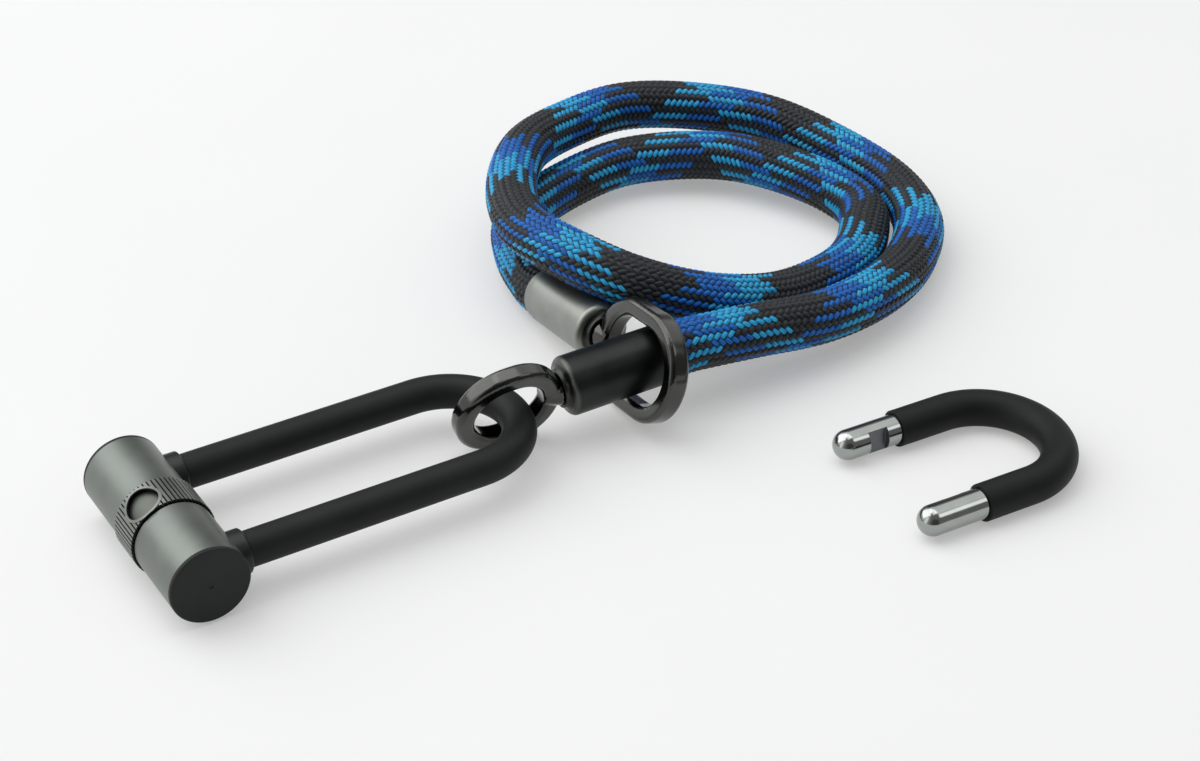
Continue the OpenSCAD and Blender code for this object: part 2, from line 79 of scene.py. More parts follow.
ROPE_R = 12 * MM
ROPE_STRAIGHT = 10 * MM  # straight run of the rope before each ferrule
LARGE_MOUTH, LARGE_YAW, LARGE_PITCH = mm(50, 114, 13.9), -92, 7.5
SMALL_MOUTH, SMALL_YAW, SMALL_PITCH = mm(58.5, 28.7, 26.9), 176, -3.5
# The rope's route from the large to the small ferrule, in millimetres
ROUTE = [
    (57, 152, 13), (73, 180, 13), (107, 197.6, 13), (147, 200.3, 15), (186, 178.5, 17),
    (208, 143, 17), (217, 108, 14), (204, 84, 13), (178, 64, 13), (138, 54, 16),
    (99, 53, 27), (67, 65, 39), (50, 95, 44), (47, 130, 42), (62, 168, 39),
    (88.7, 201.8, 36.3), (123, 222, 31.5), (160, 229, 29), (195, 218, 25), (224, 193, 21),
    (240, 157, 16), (245, 117, 13), (233, 80, 13), (206, 52, 14), (174, 34, 17),
    (138, 26, 20), (100, 26, 25),
]


def heading(yaw, pitch):
    """Unit vector from a yaw and a pitch in degrees."""
    y, p = math.radians(yaw), math.radians(pitch)
    return np.array([math.cos(p) * math.cos(y), math.cos(p) * math.sin(y), math.sin(p)])


LARGE_AXIS = heading(LARGE_YAW, LARGE_PITCH)
SMALL_AXIS = heading(SMALL_YAW, SMALL_PITCH)


# ---- Mesh helpers ----


def new_object(name, verts, faces, materials, face_materials=None, smooth=True):
    """A mesh object from points and faces, with its materials."""
    mesh = bpy.data.meshes.new(name)
    points = [tuple(map(float, v)) for v in verts]
    mesh.from_pydata(points, [], [tuple(map(int, f)) for f in faces])
    for m in materials:
        mesh.materials.append(m)
    if face_materials is not None:
        mesh.polygons.foreach_set("material_index", np.asarray(face_materials, np.int32))
    mesh.polygons.foreach_set("use_smooth", np.full(len(mesh.polygons), smooth))
    mesh.update()
    obj = bpy.data.objects.new(name, mesh)
    scene.collection.objects.link(obj)
    return obj


def modifier(obj, kind, **settings):
    """Add a modifier with its settings."""
    made = obj.modifiers.new(kind.lower(), kind)
    for key, value in settings.items():
        setattr(made, key, value)


def unit(v):
    """Vectors scaled to length 1."""
    return v / np.linalg.norm(v, axis=-1, keepdims=True)


def hann(count):
    """Weights of a smooth running average over so many points."""
    weights = np.hanning(count)
    return weights / weights.sum()


def sampled(at, s, table):
    """The rows of a table, read between its distances s at the distances given."""
    return np.stack([np.interp(at, s, column) for column in table.T], 1)


# ---- Rope's line ----

ROPE_STEP = 0.5 * MM
CURVE_STEPS = 24  # points from one point of the route to the next
LINE_AVERAGE = 17  # points that each point of the line is averaged over


def spline(a, b, c, d, t):
    """Points from b to c on the smooth curve through a, b, c and d."""
    square = (2 * a - 5 * b + 4 * c - d) * t**2
    cube = (3 * b - a - 3 * c + d) * t**3
    return 0.5 * (2 * b + (c - a) * t + square + cube)


def rope_line():
    """Distances and points at even steps on the rope's centre line, large to small mouth."""
    route = np.vstack(
        [
            LARGE_MOUTH - LARGE_AXIS * ROPE_STRAIGHT / 2,
            LARGE_MOUTH - LARGE_AXIS * ROPE_STRAIGHT,
            np.array(ROUTE) * MM,
            SMALL_MOUTH - SMALL_AXIS * ROPE_STRAIGHT,
            SMALL_MOUTH - SMALL_AXIS * ROPE_STRAIGHT / 2,
        ]
    )
    t = np.linspace(0, 1, CURVE_STEPS, endpoint=False)[:, None]
    curve = [spline(*four, t) for four in zip(route, route[1:], route[2:], route[3:])]
    line = np.vstack([LARGE_MOUTH[None], *curve, route[-2:-1], SMALL_MOUTH[None]])
    along = np.r_[0, np.cumsum(np.linalg.norm(np.diff(line, axis=0), axis=1))]
    s = np.linspace(0, along[-1], int(along[-1] / ROPE_STEP) + 1)
    points = sampled(s, along, line)
    pad = LINE_AVERAGE // 2
    lead = points[0] + (points[0] - points[1]) * np.arange(pad, 0, -1)[:, None]
    tail = points[-1] + (points[-1] - points[-2]) * np.arange(1, pad + 1)[:, None]
    padded = np.vstack([lead, points, tail])
    weights = hann(LINE_AVERAGE)
    return s, np.stack([np.convolve(column, weights, "valid") for column in padded.T], 1)


def carried_frame(points):
    """Direction, side and third vector at each point: the side starts upright and isn't twisted."""
    t = unit(np.gradient(points, axis=0))
    n = np.zeros_like(t)
    n[0] = unit(np.array([0, 0, 1.0]) - t[0] * t[0][2])
    for i in range(1, len(t)):
        n[i] = unit(n[i - 1] - t[i] * (n[i - 1] @ t[i]))
    return t, n, np.cross(t, n)


# ---- Materials ----


class Nodes:
    """Short names for building the node tree of a material or of the world."""

    def __init__(self, owner):
        owner.use_nodes = True
        self.owner = owner
        self.tree = owner.node_tree
        self.shader = self.tree.nodes.get("Principled BSDF")

    def add(self, kind, inputs=None, **settings):
        """A new node with its settings, and a link or a constant for each input."""
        node = self.tree.nodes.new(kind)
        for key, value in settings.items():
            setattr(node, key, value)
        for key, value in (inputs or {}).items():
            self.put(node.inputs[key], value)
        return node

    def put(self, socket, value):
        """Link to a socket, or set its constant."""
        if isinstance(value, bpy.types.NodeSocket):
            self.tree.links.new(value, socket)
        else:
            socket.default_value = value

    def set(self, **values):
        """Inputs of the shader, by name with _ for a space."""
        for key, value in values.items():
            self.put(self.shader.inputs[key.replace("_", " ")], value)

    def base(self):
        """What feeds the base colour so far."""
        return self.shader.inputs["Base Color"].links[0].from_socket

    def math(self, operation, *values):
        """Result of a calculation with plain values."""
        return self.add("ShaderNodeMath", dict(enumerate(values)), operation=operation).outputs[0]

    def vector(self, operation, *values, result=0):
        """Result of a calculation with vectors."""
        node = self.add("ShaderNodeVectorMath", dict(enumerate(values)), operation=operation)
        return node.outputs[result]

    def place(self):
        """Place on the object, in its own coordinates."""
        return self.add("ShaderNodeTexCoord").outputs["Object"]

    def noise(self, scale, detail=3.0, roughness=0.55, at=None):
        """Cloudy noise, about 0.3 to 0.7."""
        inputs = {"Vector": at or self.place(), "Scale": scale, "Detail": detail}
        return self.add("ShaderNodeTexNoise", {**inputs, "Roughness": roughness}).outputs["Fac"]

    def scaled(self, value, low, high, start=0.3, end=0.7, **settings):
        """From low to high while the value goes from start to end."""
        inputs = {"Value": value, "From Min": start, "From Max": end, "To Min": low, "To Max": high}
        return self.add("ShaderNodeMapRange", inputs, **settings).outputs["Result"]

    def mix(self, share, a, b):
        """Colour a, or b where the share is 1."""
        node = self.add("ShaderNodeMix", data_type="RGBA")
        for key, value in (("Factor", share), ("A", a), ("B", b)):
            self.put(node.inputs[key], value)
        return node.outputs["Result"]

    def bump(self, height, distance, strength=1.0):
        """Surface direction of a fine relief."""
        inputs = {"Height": height, "Distance": distance, "Strength": strength}
        return self.add("ShaderNodeBump", inputs).outputs["Normal"]

    def distance_from_line(self, point, keep):
        """Distance from a line through the point, along the axis that keep leaves out."""
        off = self.vector("SUBTRACT", self.place(), point)
        return self.vector("LENGTH", self.vector("MULTIPLY", off, keep), result="Value")

    def along(self, point, direction):
        """Distance from a point, measured in one direction."""
        off = self.vector("SUBTRACT", self.place(), point)
        return self.vector("DOT_PRODUCT", off, direction, result="Value")


def new_material(name):
    """Node tree of a new material."""
    return Nodes(bpy.data.materials.new(name))


def rgb(r, g, b):
    """Linear colour with alpha from an sRGB one, 0 to 255."""
    levels = (((c / 255 + 0.055) / 1.055) ** 2.4 if c > 10 else c / 255 / 12.92 for c in (r, g, b))
    return (*levels, 1.0)


METAL_CLOUDS = 60.0
COAT_ROUGHNESS = 0.08
RUBBER_CLOUDS, RUBBER_GRAIN, RUBBER_RELIEF = 45.0, 2600.0, 1.5e-5


def metal(name, dark, light, rough, grain=5000.0, relief=4e-6, metallic=1.0, coat=0.0):
    """Satin metal: fine grain, faint cloudy roughness and tone."""
    k = new_material(name)
    cloud = k.noise(METAL_CLOUDS, 4.0)
    k.set(
        Base_Color=k.mix(k.scaled(cloud, 0.0, 1.0), rgb(*dark), rgb(*light)),
        Metallic=metallic,
        Roughness=k.scaled(cloud, *rough),
        Normal=k.bump(k.noise(grain, 2.0), relief),
    )
    if coat:
        k.set(Coat_Weight=coat, Coat_Roughness=COAT_ROUGHNESS)
    return k.owner


def rubber(name, dark, light, rough, specular=0.2):
    """Matte moulded rubber or coating with a fine grain."""
    k = new_material(name)
    cloud = k.noise(RUBBER_CLOUDS, 4.0)
    fine = k.noise(RUBBER_GRAIN, 3.0, 0.6)
    k.set(
        Base_Color=k.mix(k.scaled(cloud, 0.0, 1.0), rgb(*dark), rgb(*light)),
        Roughness=k.scaled(fine, *rough),
        Specular_IOR_Level=specular,
        Normal=k.bump(fine, RUBBER_RELIEF),
    )
    return k.owner


STRAND_SCALE = (220.0, 2600.0, 1.0)  # noise drawn out along the yarn
STRAND_RELIEF, STRAND_STRENGTH = 1.2e-4, 0.6
YARN_GLOSS = 0.42
YARN_ROUGH = (0.52, 0.4)
GAP_SHADE = 0.3  # painted shade in the gaps: their tone, as a share of the deep one


def yarn(name, deep, lit, tint):
    """Filament yarn: fine strands, from the map along and across each stitch, with painted shade in
    the gaps.
    """
    k = new_material(name)
    at = k.add("ShaderNodeUVMap", uv_map="yarn").outputs["UV"]
    at = k.add("ShaderNodeMapping", {"Vector": at, "Scale": STRAND_SCALE}).outputs["Vector"]
    strands = k.noise(1.0, 2.0, 0.5, at)
    rise = k.add("ShaderNodeAttribute", attribute_name="rise").outputs["Fac"]
    tone = k.mix(k.scaled(strands, 0.0, 1.0, 0.25, 0.75), rgb(*deep), rgb(*lit))
    tone = k.mix(k.scaled(k.noise(70.0), 0.0, 0.35), tone, rgb(*deep))
    # Painted shade: where the stitches sink into the gaps, the colour goes dark
    painted_gap_shade = rgb(*[c * GAP_SHADE for c in deep])
    k.set(
        Base_Color=k.mix(k.scaled(rise, 0.0, 1.0, 0.05, 0.65), painted_gap_shade, tone),
        Roughness=k.scaled(strands, *YARN_ROUGH),
        Specular_IOR_Level=YARN_GLOSS,
        Specular_Tint=rgb(*tint),
        Normal=k.bump(strands, STRAND_RELIEF, STRAND_STRENGTH),
    )
    return k.owner


YARN_CYAN = yarn("yarn_cyan", (9, 112, 180), (68, 208, 254), (190, 240, 255))
YARN_BLUE = yarn("yarn_blue", (10, 66, 144), (42, 130, 222), (180, 205, 255))
YARN_BLACK = yarn("yarn_black", (17, 18, 20), (62, 66, 70), (190, 195, 200))


# ---- The braided rope ----

CARRIERS = 24  # yarns in each direction
LAY = 78 * MM  # length in which a yarn goes round once
YARN_WIDTH = 2.26 * MM
YARN_HEIGHT = 0.85 * MM
COLOUR_STARTS = (6, 12)  # yarns before these are cyan and blue, the rest are black
# Where the two sets of yarns start their colours: millimetres along the rope, and yarns passed
LEAD_U = np.array(
    [
        (0, -3.3), (75, -3.25), (150, -3.1), (220, -1.6), (310.2, -0.19), (392.2, -0.19),
        (487.2, -0.44), (623.2, -3.79), (707.2, -6.09), (787.2, -5.64), (864.2, -4.79),
        (972.2, -6.79), (1052.2, -7.59), (1104.2, -7.69),
    ]
)
LEAD_V = np.array(
    [
        (0, -9.5), (118, -8.8), (195, -7.15), (262.2, -3.69), (325.2, -3.39), (467.2, -3.74),
        (554.2, -5.59), (656.2, -7.09), (737.2, -7.44), (812.2, -7.19), (952.2, -7.39),
        (1029.2, -7.99), (1104.2, -8.19),
    ]
)
LEAD_AVERAGE = 81  # steps of the rope that the leads and the bends are averaged over
PARTS = 3  # small squares across a stitch
CUTS = np.array([-0.5, -0.33, 0.33, 0.5])  # their edges across the yarn
YARN_TOP = 0.4  # nearer to the yarn's middle than this, a corner is on its raised top
ARCH = 2.2  # shape of a stitch from end to end
MIDDLES = np.array([-0.5, 0.5, 0.5, -0.5])  # the stitch's middle from its square's, by phase
ROPE_IN_FERRULE = 5 * MM
# The skin draws in at a ferrule's mouth: distance into the ferrule and largest radius
NECK_AT, NECK_R = mm(-1.6, -0.3, 0.3), mm(12, 11.4, 9.9)
BAKE_STRIPS, BAKE_MARGIN = 4, 0.02
# Each yarn and each row of stitches takes its own part of the strand noise, in yarn widths
YARN_SHIFT, ROW_SHIFT, ROW_REPEAT = 3.0, 7.3, 97


def bake_map(u, v, sums, low, high):
    """Map for baking: the skin laid out flat in strips side by side, each with a margin."""
    strip = np.floor(BAKE_STRIPS * (sums - low) / (high - low + 1))
    strip = np.clip(strip, 0, BAKE_STRIPS - 1)[:, None, None]
    width = 1 - 2 * BAKE_MARGIN
    x = BAKE_MARGIN + width * (BAKE_STRIPS * (u + v - low) / (high - low) - strip)
    y = strip + BAKE_MARGIN + width * ((u - v) / (2 * CARRIERS + 2) + 0.5)
    return np.stack([x, y / BAKE_STRIPS], -1)


def open_sides(quads):
    """Sides that only one face has, in that face's direction."""
    sides = np.stack([quads, np.roll(quads, -1, 1)], -1).reshape(-1, 2)
    edges, times = np.unique(np.sort(sides, 1), axis=0, return_counts=True)
    single = {tuple(e) for e in edges[times == 1]}
    return [(a, b) for a, b in sides if (min(a, b), max(a, b)) in single]


def braid(name):
    """Regular braid, each yarn over two and under two, as one closed skin of raised stitches."""
    s, points = rope_line()
    length, step = s[-1], s[1]
    inside = np.arange(1, int(ROPE_IN_FERRULE / step) + 1)[:, None] * step
    in_large, in_small = points[0] + LARGE_AXIS * inside[::-1], points[-1] + SMALL_AXIS * inside
    points = np.vstack([in_large, points, in_small])
    s = np.r_[-inside[::-1, 0], s, length + inside[:, 0]]
    t, n, b = carried_frame(points)
    weights = hann(LEAD_AVERAGE)
    bend = np.gradient(t, s, axis=0)
    outward = [-np.convolve((bend * v).sum(1) * ROPE_R, weights, "same") for v in (n, b)]

    # Yarns of both sets that have passed at each distance
    leads = (np.interp(s / MM, *lead.T) for lead in (LEAD_U, LEAD_V))
    leads = (np.pad(lead, LEAD_AVERAGE // 2, "edge") for lead in leads)
    passed_u, passed_v = (
        CARRIERS * s / LAY + np.convolve(lead, weights, "valid") for lead in leads
    )
    total = passed_u + passed_v
    low, high = math.ceil(total[0]), math.floor(total[-1])

    # One unit square of the grid (U, V) for each stitch, by the sum and difference of U and V
    rows, rounds = np.arange(low, high + 1), np.arange(-CARRIERS, CARRIERS)
    sums, turns = (g.ravel() for g in np.meshgrid(rows, rounds, indexing="ij"))
    keep = (sums + turns) % 2 == 0
    sums, turns = sums[keep], turns[keep]
    U, V = (sums + turns) // 2, (sums - turns) // 2
    phase = turns % 4
    top_is_u = phase < 2  # the stitch on top is of yarn U, and runs along V
    square_u, square_v, on_u = (x[:, None, None] for x in (U, V, top_is_u))

    # Corners of its small squares, and the points that they share
    i, j = (g.ravel() for g in np.meshgrid(np.arange(PARTS), np.arange(PARTS), indexing="ij"))
    corners = np.stack([[i, j], [i + 1, j], [i + 1, j + 1], [i, j + 1]], 1).transpose(2, 1, 0)
    at_u, at_v = PARTS * square_u + corners[..., 0], PARTS * square_v + corners[..., 1]
    around = 2 * CARRIERS * PARTS
    key = (at_u + at_v) * around + (at_u - at_v) % around
    _, first, index = np.unique(key.ravel(), return_index=True, return_inverse=True)
    quads = index.reshape(-1, 4)

    # Along the stitch the grid stays even; across it the corners crowd to the yarn's edges
    even, crowded = corners / PARTS - 0.5, CUTS[corners]
    u = np.where(on_u, crowded[..., 0], even[..., 0]) + square_u
    v = np.where(on_u, even[..., 1], crowded[..., 1]) + square_v
    across = np.where(on_u, crowded[..., 0], crowded[..., 1])
    along = np.where(on_u, even[..., 1], even[..., 0]) - MIDDLES[phase][:, None, None]
    rise = (np.abs(across) < YARN_TOP) * (1 - np.abs(along) ** ARCH)
    bake = bake_map(u, v, sums, low, high)
    u, v, rise = (x.ravel()[first] for x in (u, v, rise))

    # Place on the rope: the yarns crowd on the inside of a bend
    here = np.interp(u + v, total, s)
    lead = (u - v) / (2 * CARRIERS) - np.interp(here, s, (passed_u - passed_v) / (2 * CARRIERS))
    even_turn = 2 * math.pi * lead
    out_n, out_b = (np.interp(here, s, o) for o in outward)
    theta = even_turn
    for _ in range(3):
        theta = even_turn - (out_n * np.sin(theta) - out_b * np.cos(theta))
    radius = ROPE_R - YARN_HEIGHT * (1 - rise)
    into_ferrule = np.maximum(-here, here - length)
    radius = np.minimum(radius, np.interp(into_ferrule, NECK_AT, NECK_R))
    centre, side, third = (sampled(here, s, x) for x in (points, n, b))
    spoke = np.cos(theta)[:, None] * side + np.sin(theta)[:, None] * third
    verts = centre + radius[:, None] * spoke

    # Close both ends, inside the ferrules
    caps = [(q, p, len(verts) + int(here[p] > length / 2)) for p, q in open_sides(quads)]
    verts = np.vstack([verts, points[0], points[-1]])
    rise = np.r_[rise, 0, 0]
    yarn_number = np.where(top_is_u, U, V) % CARRIERS
    colour = np.repeat(np.digitize(yarn_number, COLOUR_STARTS), PARTS * PARTS)
    colour = np.r_[colour, np.full(len(caps), 2)]
    faces = [tuple(q) for q in quads] + caps
    skin = new_object(name, verts, faces, [YARN_CYAN, YARN_BLUE, YARN_BLACK], colour)

    shade = skin.data.attributes.new("rise", "FLOAT", "POINT")
    shade.data.foreach_set("value", rise.astype(np.float32))
    # Map along and across each stitch, in metres
    strand_along = (along + ROW_SHIFT * (sums[:, None, None] % ROW_REPEAT)) * YARN_WIDTH
    strand_across = (across + YARN_SHIFT * (yarn_number[:, None, None] + 1)) * YARN_WIDTH
    strand = np.stack([strand_along, strand_across], -1)
    for map_name, flat in (("yarn", strand), ("OFBake", bake)):
        flat = np.vstack([flat.reshape(-1, 2), np.zeros((3 * len(caps), 2))])
        layer = skin.data.uv_layers.new(name=map_name)
        layer.uv.foreach_set("vector", flat.astype(np.float32).ravel())
    return skin, length, points


rope, rope_length, rope_points = braid("rope_sheath")
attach(rope, "rope_assembly")
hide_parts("rope")


# ---- Floor and lights ----

FLOOR_HALF = 6.0
FLOOR_TONES = (0.61, 0.61, 0.61, 1), (0.63, 0.63, 0.63, 1)
FLOOR_GLOW = (0.305, 0.305, 0.3, 1)  # for the camera and for reflections only

floor_k = new_material("floor")
seen_by = floor_k.add("ShaderNodeLightPath").outputs
floor_k.set(
    Base_Color=floor_k.mix(floor_k.scaled(floor_k.noise(3.0), 0.0, 1.0), *FLOOR_TONES),
    Roughness=0.6,
    Specular_IOR_Level=0.1,
    Emission_Color=FLOOR_GLOW,
    Emission_Strength=floor_k.math("MAXIMUM", seen_by["Is Camera Ray"], seen_by["Is Glossy Ray"]),
)
square = [(x * FLOOR_HALF, y * FLOOR_HALF, 0) for x, y in ((-1, -1), (1, -1), (1, 1), (-1, 1))]
floor = new_object("floor", square, [(0, 1, 2, 3)], [floor_k.owner], smooth=False)


def area_light(name, at, to, width, height, watts):
    """Soft rectangular lamp."""
    light = bpy.data.lights.new(name, "AREA")
    light.shape = "RECTANGLE"
    light.size, light.size_y = width, height
    light.energy = watts
    aim(bpy.data.objects.new(name, light), at, to)


LIT_MIDDLE = (0.04, 0.05, 0)
area_light("key", (-1.4, 1.9, 2.65), LIT_MIDDLE, 4.0, 4.0, 90)
area_light("top", (0.3, 0.1, 2.4), LIT_MIDDLE, 1.6, 1.6, 10)
area_light("left", (-1.5, -0.1, 0.6), (0.0, 0.05, 0), 0.6, 1.4, 1.8)

AMBIENT, AMBIENT_STRENGTH = (0.97, 0.99, 1.0, 1), 0.44
BACKDROP = rgb(242, 242, 242)

world = Nodes(bpy.data.worlds.new("studio"))
scene.world = world.owner
direction = world.add("ShaderNodeTexCoord").outputs["Generated"]


def sky(colour, strength=1.0):
    """Light of one colour from the world."""
    return world.add("ShaderNodeBackground", {"Color": colour, "Strength": strength}).outputs[0]


def either(share, a, b):
    """Light a, or b where the share is 1."""
    return world.add("ShaderNodeMixShader", {0: share, 1: a, 2: b}).outputs[0]


def card(towards, start, end, low, high):
    """Brightness from low to high inside a soft round patch around a direction."""
    towards = unit(np.array(towards, float))
    near = world.vector("DOT_PRODUCT", direction, towards, result="Value")
    return world.scaled(near, low, high, start, end, interpolation_type="SMOOTHSTEP")


# What shiny pieces mirror: a grey room with a pale left wall, a ceiling, a pale right wall,
# a dark corner at the back right, a lamp and a dark front
room = card((-0.75, 0.6, 0.25), 0.3, 0.95, 0.22, 0.9)
for operation, patch in (
    ("ADD", card((0.5, 0.25, 0.83), 0.76, 0.9, 0.0, 0.9)),
    ("ADD", card((0.8, 0.6, 0.0), 0.85, 1.0, 0.0, 0.4)),
    ("MULTIPLY", card((0.5, 0.78, 0.4), 0.93, 0.985, 1.0, 0.25)),
    ("ADD", card((0.53, -0.5, 0.68), 0.975, 0.99, 0.0, 1.8)),
    ("MULTIPLY", card((-0.3, -0.9, 0.25), 0.8, 0.97, 1.0, 0.35)),
):
    room = world.math(operation, room, patch)
grey_room = world.add("ShaderNodeCombineColor", {0: room, 1: room, 2: room}).outputs[0]
rays = world.add("ShaderNodeLightPath").outputs
unseen = either(rays["Is Glossy Ray"], sky(AMBIENT, AMBIENT_STRENGTH), sky(grey_room))
surface = either(rays["Is Camera Ray"], unseen, sky(BACKDROP))
world.put(world.tree.nodes["World Output"].inputs["Surface"], surface)
world.tree.nodes.remove(world.tree.nodes["Background"])


# ---- Finishes of the CAD solids ----

FERRULE_GREY = metal("ferrule_grey", (134, 137, 132), (150, 153, 148), (0.38, 0.46))
FERRULE_BLACK = metal("ferrule_black", (42, 44, 43), (52, 54, 53), (0.34, 0.42))
BUSH_BLACK = metal("bush_black", (52, 54, 52), (66, 68, 65), (0.28, 0.36))
FORGED_BLACK = metal("forged_black", (54, 55, 53), (68, 69, 66), (0.15, 0.25), 900.0, coat=0.6)
STEEL_ROUGH = (0.1, 0.16)
SHACKLE_STEEL = metal(
    "shackle_steel", (150, 154, 152), (166, 170, 167), STEEL_ROUGH, grain=3000.0, relief=1e-6
)
CASING_GREY = metal("casing_grey", (110, 115, 110), (121, 126, 121), (0.36, 0.44), metallic=0.8)
CAP_BLACK = rubber("cap_black", (36, 39, 37), (43, 46, 44), (0.5, 0.62))
COLLAR_BLACK = rubber("collar_black", (16, 17, 17), (22, 23, 23), (0.34, 0.42), specular=0.35)
RING_GREY = metal("dust_ring_grey", (118, 123, 117), (130, 135, 128), (0.35, 0.43), metallic=0.8)
COATING = rubber("shackle_coating", (25, 27, 26), (32, 34, 33), (0.5, 0.6))
SLEEVE = rubber("spare_sleeve", (18, 21, 19), (24, 27, 25), (0.5, 0.62))
CHASSIS = metal("chassis_steel", (92, 96, 90), (108, 112, 106), (0.45, 0.55))
BRASS = metal("cylinder_brass", (176, 140, 78), (196, 160, 96), (0.3, 0.42))
HARD = metal("hard_steel", (130, 132, 134), (160, 161, 163), (0.25, 0.34))

# Painted shade in the grooves between the dust ring's ribs and round its window: darker
# nearer the lock's axis
LOCK_AXIS_AT = mm(-167.973, 0, 17.5)
GROOVE_FROM, GROOVE_TO = 17.08 * MM, 17.38 * MM
ring = Nodes(RING_GREY)
free_of_painted_shade = ring.scaled(
    ring.distance_from_line(LOCK_AXIS_AT, (1, 0, 1)), 0.0, 1.0, GROOVE_FROM, GROOVE_TO
)
# Painted shade: a near-black tone in the grooves
ring.set(Base_Color=ring.mix(free_of_painted_shade, rgb(18, 20, 19), ring.base()))

# The ground flats of the spare shackle's bolt notches are matte
SPARE_AT = mm(147, -77.6, 7.9)
SPARE_X, SPARE_Y = heading(-2.3, 0), heading(87.7, 0)
NOTCH_MIDDLE, NOTCH_HALF, NOTCH_FLAT = -36.5 * MM, 4.6 * MM, 26.55 * MM
NOTCH_ROUGH = 0.42
ground = Nodes(SHACKLE_STEEL)
leg_x, leg_y = (ground.along(SPARE_AT, d) for d in (SPARE_X, SPARE_Y))
in_notch = ground.math(
    "MULTIPLY",
    ground.math("COMPARE", leg_x, NOTCH_MIDDLE, NOTCH_HALF),
    ground.math("LESS_THAN", ground.math("ABSOLUTE", leg_y), NOTCH_FLAT),
)
ground.set(
    Base_Color=ground.mix(in_notch, ground.base(), rgb(104, 108, 110)),
    Roughness=ground.math(
        "MAXIMUM",
        ground.math("MULTIPLY", in_notch, NOTCH_ROUGH),
        ground.scaled(ground.noise(METAL_CLOUDS), *STEEL_ROUGH),
    ),
)

# Painted highlight: the rounded shoulders of the ferrules are painted paler, in patches.
# Painted shade: a dark line at the step of the crimp band. Distances are from the ferrule's mouth
SHOULDER_FROM, SHOULDER_TO = 47.4 * MM, 49.2 * MM
CRIMP_AT, CRIMP_HALF = 3.45 * MM, 0.28 * MM
for material, mouth, axis, painted_highlight in (
    (FERRULE_GREY, LARGE_MOUTH, LARGE_AXIS, (134, 137, 131)),
    (FERRULE_BLACK, SMALL_MOUTH, SMALL_AXIS, (98, 100, 96)),
):
    painted_light_nodes = Nodes(material)
    at = painted_light_nodes.along(mouth, axis)
    patchy = painted_light_nodes.scaled(painted_light_nodes.noise(160.0, 4.0), 0.55, 1.0)
    # Painted highlight on the rounded shoulder
    shoulder_highlight = painted_light_nodes.scaled(at, 0.0, 1.0, SHOULDER_FROM, SHOULDER_TO)
    tone = painted_light_nodes.mix(painted_light_nodes.math("MULTIPLY", shoulder_highlight, patchy), painted_light_nodes.base(), rgb(*painted_highlight))
    # Painted shade: a dark line at the step of the crimp band
    crimp_shade = painted_light_nodes.math("COMPARE", at, CRIMP_AT, CRIMP_HALF)
    painted_light_nodes.set(Base_Color=painted_light_nodes.mix(crimp_shade, tone, rgb(24, 25, 24)))

FINISH = {
    "ferrule_large": FERRULE_GREY,
    "ferrule_small": FERRULE_BLACK,
    "swivel_bush_large": BUSH_BLACK,
    "swivel_bush_small": BUSH_BLACK,
    "large_eye": FORGED_BLACK,
    "small_eye": FORGED_BLACK,
    "long_shackle_bar": SHACKLE_STEEL,
    "long_shackle_coat": COATING,
    "lock_chassis": CHASSIS,
    "casing_left": CASING_GREY,
    "casing_right": CASING_GREY,
    "end_cap_left": CAP_BLACK,
    "end_cap_right": CAP_BLACK,
    "leg_collar_left": COLLAR_BLACK,
    "leg_collar_right": COLLAR_BLACK,
    "cylinder_housing": BRASS,
    "cylinder_pin": HARD,
    "dust_ring": RING_GREY,
    "lock_core": BRASS,
    "locking_discs": BRASS,
    "sidebar": HARD,
    "drive_disc": HARD,
    "bolt_left": HARD,
    "bolt_right": HARD,
    "spare_shackle_bar": SHACKLE_STEEL,
    "spare_shackle_sleeve": SLEEVE,
}
for name, finish in FINISH.items():
    slots = nodes[name].data.materials
    slots.clear()
    slots.append(finish)


# ---- Rounded forms over the CAD solids ----

SAME_POINT = 0.002 * MM
FLAT_WITHIN, EDGE_OVER = math.radians(0.4), math.radians(30)


def soften(name, width):
    """Small rounded edges on a CAD solid."""
    obj = nodes[name]
    modifier(obj, "WELD", merge_threshold=SAME_POINT)
    modifier(obj, "DECIMATE", decimate_type="DISSOLVE", angle_limit=FLAT_WITHIN)
    modifier(
        obj, "BEVEL", width=width, segments=2, limit_method="ANGLE",
        angle_limit=EDGE_OVER, harden_normals=False, miter_outer="MITER_ARC",
    )
    modifier(obj, "WEIGHTED_NORMAL", keep_sharp=False, weight=50)


def turned(yaw, pitch, lean=0.0):
    """A ferrule's own axes as columns, turned about its axis by a lean in degrees."""
    x = heading(yaw, pitch)
    y = np.array([-math.sin(math.radians(yaw)), math.cos(math.radians(yaw)), 0])
    z = np.cross(x, y)
    a = math.radians(lean)
    return np.stack([x, y * math.cos(a) + z * math.sin(a), z * math.cos(a) - y * math.sin(a)], 1)


EYE_START = 52.4 * MM  # from the ferrule's mouth to the back of the eye
BOSS_R = 6.8 * MM
BOSS_BACK = 0.5 * MM
BOSS_ARC = 1.2  # radians
WEB_HALF_ARC = math.radians(46)
HOLE_POINTS, BOSS_POINTS = 24, 12
LARGE_LEAN, SMALL_LEAN = 16, 19.5  # how far each eye is turned from upright, in degrees
WEB_EDGE_INSET, WEB_FACE_INSET = 0.4 * MM, 0.6 * MM
SKIN_GRID, SKIN_SWELL = 0.4 * MM, 0.35 * MM  # the swell makes up for what smoothing takes


